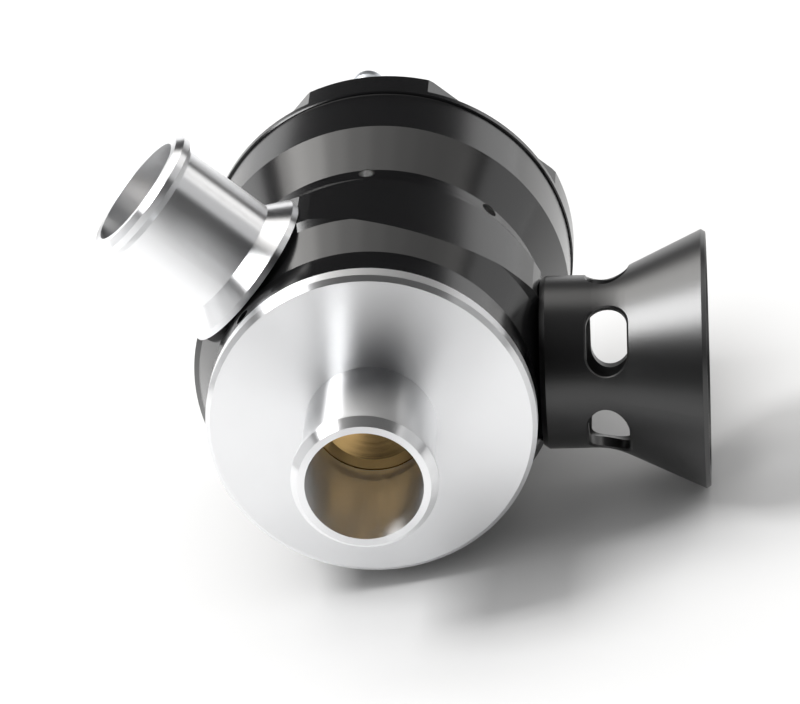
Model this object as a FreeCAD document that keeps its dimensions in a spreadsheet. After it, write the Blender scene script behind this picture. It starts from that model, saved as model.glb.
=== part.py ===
"""Dual-outlet blow off valve with an adjustable venting bias.

Frame: +Z runs along the valve's axis, from the inlet mouth at Z 0 up to the cap. +X is the axis
of the atmosphere trumpet. The recirculation spigot leaves at recirc_angle, counted from +X
towards +Y. All sizes are in millimetres and degrees.
"""
import FreeCAD, Part
import math
import os
import re
import Sketcher

Vector = FreeCAD.Vector
Rotation = FreeCAD.Rotation
Placement = FreeCAD.Placement

os.makedirs("parts", exist_ok=True)
doc = FreeCAD.newDocument("BlowOffValve")
ORIGIN = Vector(0, 0, 0)
X_AXIS = Vector(1, 0, 0)
Y_AXIS = Vector(0, 1, 0)
Z_AXIS = Vector(0, 0, 1)

# Driving dimensions

SIZES = {
    # hose spigots and inlet base
    "lip_d": 25.4, "inlet_lip_height": 1.15, "inlet_wall": 1.35, "lip_lead_in": 1.25,
    "lip_lead": 1.75, "lip_land": 1.05, "lip_back": 1.15, "disc_face_z": 22.0,
    "disc_thickness": 3.5, "disc_chamfer": 0.85, "register_shoulder": 2.0, "register_end": 0.5,
    "cup_gap": 0.4, "seat_up": 1.0, "seat_length": 5.5, "seat_lead": 1.6, "seat_widening": 0.8,
    "seat_land": 0.6, "seat_ring_side": 0.15,
    # grub screws that hold the inlet base in the body
    "grub_up": 1.9, "grub_angle": 221.5, "grub_count": 3, "grub_groove": 0.9, "grub_screw_d": 2.8,
    "grub_inset": 1.15, "grub_key": 1.5, "grub_key_depth": 1.6,
    # valve body
    "body_wall": 4.9, "body_straight": 6.5, "body_cone": 8.3, "band_d": 64.8, "band_bevel": 1.6,
    "band_bevel_in": 1.0, "band_width": 11.1, "body_back": 4.0, "body_back_in": 1.2,
    "sleeve_bore_d": 44.0, "register_room": 3.25, "port_flat_cut": 3.2, "crown_radius": 40.0,
    "crown_cut": 1.7, "crown_half_width": 21.8,
    # side ports
    "port_up": 3.1, "recirc_angle": 221.2, "socket_d": 20.8, "chamfer_trim": 0.25,
    "spigot_wall": 1.45, "spigot_back": 2.6, "foot_bevel": 0.7,
    # recirculation spigot
    "recirc_lip_height": 1.4, "recirc_wall": 1.1, "recirc_length": 24.7, "recirc_rim": 1.2,
    "recirc_shoulder": 4.3, "recirc_lead": 1.0, "recirc_lead_in": 1.1, "recirc_land": 1.2,
    "recirc_back": 1.3, "recirc_step": 2.4, "recirc_step_end": 3.8,
    # trumpet
    "trumpet_foot": 1.0, "trumpet_neck_d": 30.6, "neck_length": 12.3, "neck_wall": 2.0,
    "flare_length": 17.0, "flare_end_d": 45.8, "rim_band": 0.8, "rim_break": 0.5, "rim_wall": 1.4,
    "trumpet_step": 1.8, "trumpet_step_end": 3.8, "inner_flare_shift": 0.4, "flare_blend": 14.0,
    "inner_flare_blend": 16.0, "slot_back": 4.1, "slot_width": 7.2, "slot_length": 12.4,
    "slot_angle": -40.5, "slot_count": 5, "edge_break": 0.35,
    # head
    "collar_over": 0.7, "collar_height": 3.0, "drum_cone": 11.4, "drum_d": 66.6,
    "drum_straight": 14.2, "head_floor_up": 2.7, "pin_hole_d": 3.0, "pin_hole_down": 1.3,
    "pin_hole_depth": 3.5, "pin_hole_angle": -92.5, "pin_hole_count": 8,
    # bias sleeve, its screws and its clip
    "sleeve_wall": 2.44, "sleeve_foot_gap": 0.8, "sleeve_head_gap": 1.1, "sleeve_flange": 3.0,
    "flange_gap": 0.4, "window_low": 0.1, "window_high": 0.6, "window_half_angle": 69.5,
    "clip_groove": 0.84, "clip_side_gap": 0.4, "clip_opening": 9.0, "sleeve_screw_offset": 22.5,
    "sleeve_screw_d": 2.9, "sleeve_screw_head_d": 5.2, "sleeve_screw_side": 0.23,
    "sleeve_screw_head": 3.0, "screw_end_wall": 1.1, "sleeve_screw_key": 2.5,
    "sleeve_screw_key_depth": 1.5, "sleeve_screw_count": 4, "screw_hole_gap": 0.12,
    # piston and spring
    "face_gap": 0.03, "nose_height": 7.25, "nose_bevel": 1.0, "piston_length": 34.25,
    "piston_wall": 2.64, "piston_crown": 11.75, "well_side": 6.0, "well_depth": 6.0,
    "dish_land": 2.0, "dish_depth": 2.6, "piston_ring_down": 3.5, "ring_groove": 1.8,
    "ring_depth": 1.05, "ring_opening": 0.6, "spring_side": 2.8, "spring_wire_d": 2.0,
    "spring_turns": 8, "spring_closed_gap": 0.05, "spring_level_turn": 0.7,
    # spring seat, guide pins and preload screw
    "seat_top_gap": 1.6, "seat_nut": 4.0, "seat_side": 1.1, "pilot": 2.5, "pilot_side": 0.4,
    "guide_wall": 0.8, "guide_pin_d": 3.0, "guide_reach": 5.4, "guide_hold": 3.0,
    "guide_hole_end": 0.5, "screw_thread_d": 8.0, "screw_reach": 13.0, "screw_end_chamfer": 0.8,
    "thrust_side": 0.6, "thrust_height": 2.35, "journal_d": 10.0, "screw_stand": 0.8,
    "hex_key": 5.0, "hex_depth": 4.5, "screw_chamfer": 0.5,
    # top cap
    "cap_d": 67.4, "cap_height": 7.3, "cap_flange": 1.7, "cap_flat_cut": 3.4,
    "cap_flat_angle": -49.5, "cap_flat_count": 4, "cap_chamfer": 0.4, "cap_under_chamfer": 0.25,
    "plug_gap": 0.1, "plug_length": 9.6, "plug_bore_d": 33.8, "cap_web": 8.2, "clip_pocket": 2.0,
    "clip_pocket_side": 0.7, "small_clip_groove": 0.8, "small_clip_rim": 2.5,
    "small_clip_opening": 5.0,
    # vacuum nipple
    "nipple_in": 1.8, "nipple_angle": -98.0, "nipple_thread_d": 6.0, "nipple_thread": 5.4,
    "nipple_washer": 0.6, "nipple_washer_d": 9.0, "nipple_hex": 8.0, "nipple_hex_height": 4.0,
    "nipple_hex_chamfer": 0.4, "nipple_stem_d": 5.0, "nipple_barb_d": 6.2, "nipple_barb": 3.8,
    "nipple_barb_back": 1.3, "nipple_height": 13.8, "nipple_tip_round": 1.1, "nipple_bore_d": 2.6,
    "nipple_hole_end": 0.2, "passage_in": 1.5, "passage_d": 2.8, "passage_lap": 0.4,
    # seals and fits
    "groove_depth": 1.3, "groove_wall": 0.6, "base_ring_groove": 1.8, "seat_ring_section": 1.5,
    "port_ring_section": 0.9, "sleeve_ring_groove": 1.4, "sleeve_ring_depth": 0.79,
    "sleeve_ring_wall": 0.6, "cap_ring_groove": 1.8, "cap_ring_down": 4.0,
    "screw_ring_groove": 1.3, "screw_ring_depth": 0.85, "screw_ring_up": 2.65,
    "clip_thickness": 1.0, "small_clip_thickness": 0.8, "running_gap": 0.06, "seated_gap": 0.05,
    "rest_gap": 0.02, "ring_gap": 0.015,
}

# Sizes and heights that follow from the driving ones, each before the first that needs it

FITS = {
    "inlet_tube_d": "lip_d - 2 * inlet_lip_height",
    "inlet_bore_d": "inlet_tube_d - 2 * inlet_wall",
    "inlet_lip_face_d": "lip_d - 2 * lip_lead_in",
    "sleeve_d": "sleeve_bore_d - 2 * running_gap",
    "sleeve_bore": "sleeve_d - 2 * sleeve_wall",
    "register_d": "sleeve_bore_d + 2 * register_shoulder",
    "body_d": "register_d + 2 * body_wall",
    "cup_d": "sleeve_bore + 2 * cup_gap",
    "disc_rear_z": "disc_face_z + disc_thickness",
    "seat_z": "disc_rear_z + seat_up",
    "bore_end_z": "seat_z - seat_length",
    "seat_d": "inlet_bore_d + 2 * seat_widening",
    "seat_ring_half": "seat_ring_section / 2 + seat_ring_side",
    "seat_ring_d": "seat_d + 2 * (seat_land + seat_ring_half)",
    "grub_hole_d": "grub_screw_d + 2 * seated_gap",
    "grub_land": "grub_screw_d / 2 + seated_gap",
    "grub_z": "disc_rear_z + grub_up",
    "grub_screw": "body_wall + grub_groove - seated_gap - grub_inset",
    "base_ring_z": "grub_z + grub_land + groove_wall + base_ring_groove / 2",
    "base_ring_section": "groove_depth + seated_gap - 2 * ring_gap",
    "register_top_z": "base_ring_z + base_ring_groove / 2 + register_end",
    "register_bore_z": "register_top_z + register_room",
    "body_cone_z": "disc_rear_z + body_straight",
    "band_shoulder_z": "body_cone_z + body_cone",
    "band_shoulder_d": "band_d - 2 * band_bevel_in",
    "band_near_z": "band_shoulder_z + band_bevel",
    "band_far_z": "band_near_z + band_width",
    "body_top_z": "band_far_z + body_back",
    "body_top_d": "band_d - 2 * body_back_in",
    "port_flat": "band_d / 2 - port_flat_cut",
    "port_z": "band_near_z + port_up",
    "port_bore_d": "socket_d - 2 * seated_gap - 2 * spigot_wall",
    "socket_chamfer": "2 * port_ring_section - chamfer_trim",
    "spigot_end": "sleeve_bore_d / 2 + spigot_back",
    "foot_d": "trumpet_neck_d - 2 * foot_bevel",
    "neck_top_z": "port_z + trumpet_neck_d / 2 - running_gap",
    "crown_offset": "crown_radius - band_d / 2 + crown_cut",
    "recirc_tube_d": "lip_d - 2 * recirc_lip_height",
    "recirc_bore_d": "recirc_tube_d - 2 * recirc_wall",
    "recirc_lip_face_d": "lip_d - 2 * recirc_lead_in",
    "recirc_mouth": "port_flat + recirc_length",
    "neck_bore_d": "trumpet_neck_d - 2 * neck_wall",
    "flare_start": "port_flat + neck_length",
    "inner_flare_start": "flare_start + inner_flare_shift",
    "trumpet_end": "flare_start + flare_length",
    "trumpet_mouth_bore_d": "flare_end_d - 2 * rim_wall",
    "slot_start": "flare_start - slot_back",
    "collar_d": "2 * (port_flat + collar_over)",
    "drum_cone_z": "neck_top_z + running_gap + collar_height",
    "drum_z": "drum_cone_z + drum_cone",
    "drum_top_z": "drum_z + drum_straight",
    "head_floor_z": "drum_cone_z + head_floor_up",
    "pin_hole_z": "drum_cone_z - pin_hole_down",
    "sleeve_flange_d": "sleeve_d + 2 * sleeve_screw_head_d + 4 * sleeve_screw_side",
    "sleeve_screw_ring": "(sleeve_bore_d + sleeve_flange_d) / 4",
    "sleeve_screw_reach": "head_floor_z - neck_top_z - running_gap - screw_end_wall",
    "drum_bore_d": "sleeve_flange_d + 2 * flange_gap",
    "plug_d": "drum_bore_d - 2 * plug_gap",
    "plug_z": "drum_top_z - plug_length",
    "sleeve_bottom_z": "register_top_z + sleeve_foot_gap",
    "sleeve_top_z": "plug_z - sleeve_head_gap",
    "window_z": "port_z - port_bore_d / 2 - window_low",
    "window_top_z": "port_z + port_bore_d / 2 + window_high",
    "clip_groove_d": "sleeve_d - 2 * clip_groove",
    "clip_d": "register_d - 2 * clip_side_gap",
    "sleeve_ring_z": "window_top_z + sleeve_ring_wall + sleeve_ring_groove / 2",
    "sleeve_ring_section": "sleeve_ring_depth + running_gap - 2 * ring_gap",
    "piston_face_z": "seat_z - groove_depth + seat_ring_section + rest_gap + face_gap",
    "nose_d": "2 * seat_ring_d - seat_d",
    "nose_top_z": "piston_face_z + nose_height",
    "piston_shoulder_z": "nose_top_z + nose_bevel",
    "piston_floor_z": "piston_face_z + piston_crown",
    "piston_top_z": "piston_face_z + piston_length",
    "piston_bore_d": "sleeve_bore - 2 * running_gap - 2 * piston_wall",
    "well_d": "screw_thread_d + 2 * well_side",
    "well_z": "piston_floor_z - well_depth",
    "dish_d": "seat_d - 2 * dish_land",
    "ring_groove_z": "piston_top_z - piston_ring_down",
    "spring_mean_d": "piston_bore_d - 2 * spring_side - spring_wire_d",
    "spring_closed_pitch": "spring_wire_d + spring_closed_gap",
    "cap_top_z": "drum_top_z + cap_height",
    "cap_flange_z": "drum_top_z + cap_flange",
    "cap_flat": "cap_d / 2 - cap_flat_cut",
    "cap_web_z": "cap_top_z - cap_web",
    "cap_ring_z": "drum_top_z - cap_ring_down",
    "cap_ring_section": "groove_depth",
    "thrust_z": "cap_web_z - seated_gap - thrust_height",
    "seat_nut_z": "thrust_z - seat_top_gap - seat_nut",
    "seat_nut_d": "plug_bore_d - 2 * seat_side",
    "pilot_d": "spring_mean_d - spring_wire_d - 2 * pilot_side",
    "guide_ring": "(pilot_d - guide_pin_d) / 2 - guide_wall",
    "guide_pin_end_z": "seat_nut_z - guide_reach",
    "guide_pin_top_z": "cap_web_z + guide_hold",
    "guide_hole_top_z": "guide_pin_top_z + guide_hole_end",
    "thrust_d": "2 * guide_ring - guide_pin_d - 2 * thrust_side",
    "screw_end_z": "seat_nut_z - screw_reach",
    "screw_top_z": "cap_top_z + screw_stand",
    "screw_ring_z": "cap_web_z + screw_ring_up",
    "screw_ring_section": "screw_ring_depth + seated_gap - 4 * ring_gap",
    "clip_pocket_z": "cap_top_z - clip_pocket",
    "small_clip_d": "journal_d + 2 * small_clip_rim",
    "small_clip_groove_d": "journal_d - 2 * small_clip_groove",
    "clip_pocket_d": "small_clip_d + 2 * clip_pocket_side",
    "nipple_ring": "drum_bore_d / 2 - nipple_in",
    "nipple_tip_z": "cap_top_z + nipple_height",
    "nipple_hole_z": "cap_top_z - nipple_thread - nipple_hole_end",
    "passage_ring": "nipple_ring - passage_in",
    "passage_top_z": "nipple_hole_z + passage_lap",
}

sheet = doc.addObject("Spreadsheet::Sheet", "Sizes")
cells = list(SIZES.items()) + [(alias, "=" + formula) for alias, formula in FITS.items()]
for row, (alias, value) in enumerate(cells, start=1):
    sheet.set("A%d" % row, alias)
    sheet.set("B%d" % row, str(value))
    sheet.setAlias("B%d" % row, alias)
doc.recompute()
NAMES = {alias for alias, value in cells}


def linked(text):
    """The text of a formula, with each size's name led to its cell in the sheet."""
    return re.sub(r"[a-z_]\w*", lambda word: "Sizes." + word.group(0) if word.group(0) in NAMES
                  else word.group(0), str(text))


def size(name):
    """A size as the sheet holds it."""
    return float(sheet.get(name))


# Building blocks

FIRST_TURN = 10
FIRST_PLACE = 20
LEAST_CUT = 0.01
MATCH = 0.01

def origin_plane(body, role):
    for feature in body.Origin.OriginFeatures:
        if feature.Role == role:
            return feature
    raise RuntimeError("no plane " + role)


def new_sketch(body, name, role, lift="0", rise="0", turn_about=Z_AXIS, turn="0"):
    """A sketch on one of the body's own planes.

    It is turned about one of the plane's axes, moved off the plane by lift along its own normal
    and shifted by rise along the plane's second axis.
    """
    sketch = body.newObject("Sketcher::SketchObject", name)
    sketch.AttachmentSupport = [(origin_plane(body, role), "")]
    sketch.MapMode = "FlatFace"
    sketch.AttachmentOffset = Placement(ORIGIN, Rotation(turn_about, FIRST_TURN))
    sketch.setExpression("AttachmentOffset.Rotation.Angle", linked(turn))
    lean = "(%s) * 1deg" % (turn if turn_about == Y_AXIS else "0")
    sketch.setExpression("AttachmentOffset.Base.x", linked("(%s) * sin(%s)" % (lift, lean)))
    sketch.setExpression("AttachmentOffset.Base.y", linked(rise))
    sketch.setExpression("AttachmentOffset.Base.z", linked("(%s) * cos(%s)" % (lift, lean)))
    return sketch


def hold(sketch, kind, geometry, point, formula, first):
    """One distance from the sketch's origin, bound to its formula."""
    row = sketch.addConstraint(Sketcher.Constraint(kind, -1, 1, geometry, point, first))
    sketch.setExpression("Constraints[%d]" % row, linked(formula))


def add_outline(sketch, points):
    """A closed outline of straight lines, each corner bound to its two formulas."""
    count = len(points)
    angles = [2 * math.pi * i / count for i in range(count)]
    guess = [Vector(FIRST_PLACE + math.cos(a), FIRST_PLACE + math.sin(a), 0) for a in angles]
    first = sketch.GeometryCount
    for i in range(count):
        sketch.addGeometry(Part.LineSegment(guess[i], guess[(i + 1) % count]), False)
    for i in range(count):
        after = first + (i + 1) % count
        sketch.addConstraint(Sketcher.Constraint("Coincident", first + i, 2, after, 1))
    for i, (x, y) in enumerate(points):
        hold(sketch, "DistanceX", first + i, 1, x, guess[i].x)
        hold(sketch, "DistanceY", first + i, 1, y, guess[i].y)


def add_circle(sketch, x, y, diameter):
    index = sketch.addGeometry(Part.Circle(Vector(1, 1, 0), Z_AXIS, FIRST_PLACE), False)
    hold(sketch, "DistanceX", index, 3, x, 1)
    hold(sketch, "DistanceY", index, 3, y, 1)
    row = sketch.addConstraint(Sketcher.Constraint("Diameter", index, FIRST_PLACE))
    sketch.setExpression("Constraints[%d]" % row, linked(diameter))


def add_hexagon(sketch, across_flats):
    """A regular hexagon about the sketch's origin, with two corners on its X axis."""
    corner = "(%s) / sqrt(3)" % across_flats
    add_outline(sketch, [("%s * cos(%d * 60deg)" % (corner, i), "%s * sin(%d * 60deg)" % (corner, i))
                         for i in range(6)])


def add_slot(sketch, low, length, width):
    """An oblong across the sketch's vertical axis, with half-round ends."""
    y = size(low) + size(width) / 2
    half = (size(length) - size(width)) / 2
    radius = size(width) / 2
    quarter = math.pi / 2
    right = Part.Circle(Vector(half, y, 0), Z_AXIS, radius)
    left = Part.Circle(Vector(-half, y, 0), Z_AXIS, radius)
    sketch.addGeometry(Part.LineSegment(Vector(-half, y - radius, 0), Vector(half, y - radius, 0)), False)
    sketch.addGeometry(Part.ArcOfCircle(right, -quarter, quarter), False)
    sketch.addGeometry(Part.LineSegment(Vector(half, y + radius, 0), Vector(-half, y + radius, 0)), False)
    sketch.addGeometry(Part.ArcOfCircle(left, quarter, 3 * quarter), False)
    for side in range(4):
        sketch.addConstraint(Sketcher.Constraint("Tangent", side, 2, (side + 1) % 4, 1))
    for arc, sign, place in ((1, "", half), (3, "-", -half)):
        hold(sketch, "DistanceX", arc, 3, "%s(%s - %s) / 2" % (sign, length, width), place)
        hold(sketch, "DistanceY", arc, 3, "%s + %s / 2" % (low, width), y)
        row = sketch.addConstraint(Sketcher.Constraint("Radius", arc, radius))
        sketch.setExpression("Constraints[%d]" % row, linked("%s / 2" % width))


def turned(label, points):
    """A turned piece: its half section, as radius and height, spun about its own axis."""
    body = doc.addObject("PartDesign::Body", label)
    body.Label = label
    sketch = new_sketch(body, label + "_section", "XZ_Plane")
    add_outline(sketch, points)
    spin = body.newObject("PartDesign::Revolution", label + "_turned")
    spin.Profile = sketch
    spin.ReferenceAxis = (sketch, ["V_Axis"])
    spin.Angle = 360
    body.Tip = spin
    doc.recompute()
    return body


def took_metal(body, before, name):
    """Stops the build if the last cut took nothing away."""
    if not body.Shape.Volume < before - LEAST_CUT:
        raise RuntimeError(name + " took nothing away")


def pocket(body, sketch, length):
    """A pocket of the sketch's outline, led along the sketch's normal."""
    before = body.Shape.Volume
    taken = body.newObject("PartDesign::Pocket", sketch.Name + "_cut")
    taken.Profile = sketch
    taken.setExpression("Length", linked(length))
    taken.Reversed = True
    body.Tip = taken
    doc.recompute()
    took_metal(body, before, sketch.Name)
    return taken


def around(body, features, count, angle="360"):
    """The same features again, in a ring about the piece's own Z axis."""
    before = body.Shape.Volume
    axis = [item for item in body.Origin.OriginFeatures if item.Role == "Z_Axis"][0]
    ring = body.newObject("PartDesign::PolarPattern", features[0].Name + "_ring")
    ring.Originals = features
    ring.Axis = (axis, [""])
    ring.setExpression("Occurrences", linked(count))
    ring.setExpression("Angle", linked(angle) + " * 1deg")
    body.Tip = ring
    doc.recompute()
    took_metal(body, before, ring.Name)
    return ring


def dressed(body, kind, edges, prop, amount):
    """A Fillet or a Chamfer along named edges of the piece as it stands."""
    base = body.Tip
    finish = body.newObject("PartDesign::" + kind, base.Name + "_" + kind.lower())
    finish.Base = (base, edges)
    finish.setExpression(prop, linked(amount))
    body.Tip = finish
    doc.recompute()
    return finish


def round_edges(body, radius, height):
    """Names of a turned piece's round edges at one radius and height of its own frame."""
    names = []
    for number, edge in enumerate(body.Tip.Shape.Edges, start=1):
        curve = edge.Curve
        if isinstance(curve, Part.Circle) and abs(curve.Radius - radius) < MATCH:
            if abs(curve.Center.z - height) < MATCH:
                names.append("Edge%d" % number)
    return names


def o_ring(label, mean_d, section, height=None):
    """A rubber ring as it lies squeezed in its groove."""
    ring = doc.addObject("Part::Torus", label)
    ring.Label = label
    ring.setExpression("Radius1", linked("(%s) / 2" % mean_d))
    ring.setExpression("Radius2", linked("(%s) / 2" % section))
    if height is not None:
        ring.setExpression("Placement.Base.z", linked(height))
    return ring


def split_ring(label, points, opening):
    """A sprung ring: turned to its section, then opened by a narrow gap towards +X."""
    body = turned(label, points)
    gap = new_sketch(body, label + "_opening", "XY_Plane")
    add_outline(gap, [("0", "-%s / 2" % opening), ("band_d", "-%s / 2" % opening),
                      ("band_d", "%s / 2" % opening), ("0", "%s / 2" % opening)])
    pocket(body, gap, "screw_top_z")
    return body


def on_port(piece, angle, along=0.0):
    """Lays a piece's own Z axis along a side port, along mm out from the valve's axis."""
    turn = Rotation(Z_AXIS, angle) * Rotation(Y_AXIS, 90)
    out = Rotation(Z_AXIS, angle).multVec(X_AXIS)
    piece.Placement = Placement(Vector(0, 0, size("port_z")) + out * along, turn)


def cylinder(name, diameter, height, start, axis=Z_AXIS):
    """A plain round bar that starts at a point and runs along axis."""
    bar = doc.addObject("Part::Cylinder", name)
    bar.setExpression("Radius", linked("(%s) / 2" % diameter))
    bar.setExpression("Height", linked(height))
    bar.Placement = Placement(start, Rotation(Z_AXIS, axis))
    return bar


def hex_bar(name, across_flats, height, start, axis=Z_AXIS):
    bar = doc.addObject("Part::Prism", name)
    bar.Polygon = 6
    bar.setExpression("Circumradius", linked("(%s) / sqrt(3)" % across_flats))
    bar.setExpression("Height", linked(height))
    bar.Placement = Placement(start, Rotation(Z_AXIS, axis))
    return bar


def cut(name, base, tool):
    piece = doc.addObject("Part::Cut", name)
    piece.Base = base
    piece.Tool = tool
    return piece


def grouped(label, pieces):
    """Alike fasteners share one part: a group of separate solids."""
    group = doc.addObject("Part::Compound", label)
    group.Label = label
    group.Links = pieces
    return group


parts = []

# Inlet base: one turned piece of bright aluminium, from the beaded hose spigot, through the wide
# disc that closes the body, to the register that plugs into it. Its upper end is the piston's seat.

inlet_base = turned("inlet_base", [
    ("inlet_bore_d / 2", "0"),
    ("inlet_lip_face_d / 2", "0"),
    ("lip_d / 2", "lip_lead"),
    ("lip_d / 2", "lip_lead + lip_land"),
    ("inlet_tube_d / 2", "lip_lead + lip_land + lip_back"),
    ("inlet_tube_d / 2", "disc_face_z"),
    ("body_d / 2 - disc_chamfer", "disc_face_z"),
    ("body_d / 2", "disc_face_z + disc_chamfer"),
    ("body_d / 2", "disc_rear_z"),
    ("register_d / 2", "disc_rear_z"),
    ("register_d / 2", "grub_z - grub_land"),
    ("register_d / 2 - grub_groove", "grub_z - grub_land"),
    ("register_d / 2 - grub_groove", "grub_z + grub_land"),
    ("register_d / 2", "grub_z + grub_land"),
    ("register_d / 2", "base_ring_z - base_ring_groove / 2"),
    ("register_d / 2 - groove_depth", "base_ring_z - base_ring_groove / 2"),
    ("register_d / 2 - groove_depth", "base_ring_z + base_ring_groove / 2"),
    ("register_d / 2", "base_ring_z + base_ring_groove / 2"),
    ("register_d / 2", "register_top_z"),
    ("cup_d / 2", "register_top_z"),
    ("cup_d / 2", "seat_z"),
    ("seat_ring_d / 2 + seat_ring_half", "seat_z"),
    ("seat_ring_d / 2 + seat_ring_half", "seat_z - groove_depth"),
    ("seat_ring_d / 2 - seat_ring_half", "seat_z - groove_depth"),
    ("seat_ring_d / 2 - seat_ring_half", "seat_z"),
    ("seat_d / 2", "seat_z"),
    ("seat_d / 2", "bore_end_z + seat_lead"),
    ("inlet_bore_d / 2", "bore_end_z"),
])
parts.append(inlet_base)

# Ring of the inlet base: sits in the register's groove and seals it to the body.

parts.append(o_ring("base_o_ring", "register_d - groove_depth + seated_gap",
                    "base_ring_section", "base_ring_z"))

# Seat ring: the soft ring that the piston closes on.

parts.append(o_ring("seat_o_ring", "seat_ring_d", "seat_ring_section",
                    "seat_z - groove_depth + seat_ring_section / 2 + rest_gap"))

# Grub screws: point the inlet base's groove through the body's wall. Their hex sockets face out.

def grub_screw(number):
    turn = size("grub_angle") + number * 360.0 / size("grub_count")
    out = Rotation(Z_AXIS, turn).multVec(X_AXIS)
    tip = size("register_d") / 2 - size("grub_groove") + size("seated_gap")
    key = tip + size("grub_screw") - size("grub_key_depth")
    height = Vector(0, 0, size("grub_z"))
    bar = cylinder("grub_bar_%d" % number, "grub_screw_d", "grub_screw", height + out * tip, out)
    socket = hex_bar("grub_socket_%d" % number, "grub_key", "grub_screw", height + out * key, out)
    return cut("grub_screw_%d" % number, bar, socket)


parts.append(grouped("base_grub_screws", [grub_screw(i) for i in range(int(size("grub_count")))]))

# Valve body: turned black aluminium. A short cylinder, a slow cone and a band that carries the
# two side ports on milled flats. Between the ports the band is milled to a flatter crown.

valve_body = turned("valve_body", [
    ("register_d / 2 + seated_gap", "disc_rear_z + rest_gap"),
    ("body_d / 2", "disc_rear_z + rest_gap"),
    ("body_d / 2", "body_cone_z"),
    ("band_shoulder_d / 2", "band_shoulder_z"),
    ("band_d / 2", "band_near_z"),
    ("band_d / 2", "band_far_z"),
    ("body_top_d / 2", "body_top_z"),
    ("collar_d / 2", "body_top_z"),
    ("collar_d / 2", "neck_top_z"),
    ("sleeve_bore_d / 2", "neck_top_z"),
    ("sleeve_bore_d / 2", "register_bore_z"),
    ("register_d / 2 + seated_gap", "register_bore_z"),
])

port_flat = new_sketch(valve_body, "port_flat_outline", "XY_Plane")
add_outline(port_flat, [("port_flat", "-band_d"), ("band_d", "-band_d"),
                        ("band_d", "band_d"), ("port_flat", "band_d")])
flat_cut = pocket(valve_body, port_flat, "screw_top_z")

port_socket = new_sketch(valve_body, "port_socket", "YZ_Plane")
add_circle(port_socket, "0", "port_z", "socket_d")
socket_cut = pocket(valve_body, port_socket, "band_d")

socket_mouth = new_sketch(valve_body, "socket_mouth", "XZ_Plane", rise="port_z")
add_outline(socket_mouth, [
    ("port_flat - socket_chamfer", "socket_d / 2"),
    ("port_flat", "socket_d / 2"),
    ("port_flat", "socket_d / 2 + socket_chamfer"),
])
before = valve_body.Shape.Volume
mouth_cut = valve_body.newObject("PartDesign::Groove", "socket_mouth_cut")
mouth_cut.Profile = socket_mouth
mouth_cut.ReferenceAxis = (socket_mouth, ["H_Axis"])
mouth_cut.Angle = 360
valve_body.Tip = mouth_cut
doc.recompute()
took_metal(valve_body, before, "socket_mouth")
around(valve_body, [flat_cut, socket_cut, mouth_cut], "2", "recirc_angle")

grub_hole = new_sketch(valve_body, "grub_hole", "YZ_Plane", turn_about=Y_AXIS, turn="grub_angle")
add_circle(grub_hole, "0", "grub_z", "grub_hole_d")
grub_cut = pocket(valve_body, grub_hole, "band_d")
around(valve_body, [grub_cut], "grub_count")

crown = new_sketch(valve_body, "crown_outline", "XY_Plane", turn="(recirc_angle - 360) / 2")
crown_half = size("crown_half_width")
reach = size("band_d")
half_turn = math.asin(crown_half / size("crown_radius"))
rim_x = size("crown_radius") * math.cos(half_turn) - size("crown_offset")
crown_circle = Part.Circle(Vector(-size("crown_offset"), 0, 0), Z_AXIS, size("crown_radius"))
crown.addGeometry(Part.ArcOfCircle(crown_circle, -half_turn, half_turn), False)
corners = [Vector(rim_x, crown_half, 0), Vector(reach, crown_half, 0),
           Vector(reach, -crown_half, 0), Vector(rim_x, -crown_half, 0)]
for start, end in zip(corners, corners[1:]):
    crown.addGeometry(Part.LineSegment(start, end), False)
for side in range(4):
    crown.addConstraint(Sketcher.Constraint("Coincident", side, 2, (side + 1) % 4, 1))
row = crown.addConstraint(Sketcher.Constraint("Radius", 0, size("crown_radius")))
crown.setExpression("Constraints[%d]" % row, linked("crown_radius"))
hold(crown, "DistanceX", 0, 3, "-crown_offset", -size("crown_offset"))
hold(crown, "DistanceY", 0, 3, "0", 0)
hold(crown, "DistanceY", 1, 1, "crown_half_width", crown_half)
hold(crown, "DistanceX", 1, 2, "band_d", reach)
hold(crown, "DistanceY", 1, 2, "crown_half_width", crown_half)
hold(crown, "DistanceX", 2, 2, "band_d", reach)
hold(crown, "DistanceY", 2, 2, "-crown_half_width", -crown_half)
hold(crown, "DistanceY", 3, 2, "-crown_half_width", -crown_half)
pocket(valve_body, crown, "screw_top_z")
parts.append(valve_body)

# Trumpet: black aluminium bell that lets air out to the atmosphere. Its short spigot is pressed in
# the body's socket, five oblong slots ring its neck, and the flare ends in a thin rim with a broken edge.

trumpet = turned("trumpet", [
    ("port_bore_d / 2", "spigot_end"),
    ("socket_d / 2 - seated_gap", "spigot_end"),
    ("socket_d / 2 - seated_gap", "port_flat + rest_gap"),
    ("foot_d / 2", "port_flat + rest_gap"),
    ("trumpet_neck_d / 2", "port_flat + trumpet_foot"),
    ("trumpet_neck_d / 2", "flare_start"),
    ("flare_end_d / 2", "trumpet_end - rim_band"),
    ("flare_end_d / 2 - rim_break", "trumpet_end"),
    ("trumpet_mouth_bore_d / 2", "trumpet_end"),
    ("neck_bore_d / 2", "inner_flare_start"),
    ("neck_bore_d / 2", "port_flat + trumpet_step_end"),
    ("port_bore_d / 2", "port_flat + trumpet_step"),
])
outer_turn = round_edges(trumpet, size("trumpet_neck_d") / 2, size("flare_start"))
dressed(trumpet, "Fillet", outer_turn, "Radius", "flare_blend")
inner_turn = round_edges(trumpet, size("neck_bore_d") / 2, size("inner_flare_start"))
dressed(trumpet, "Fillet", inner_turn, "Radius", "inner_flare_blend")

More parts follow.
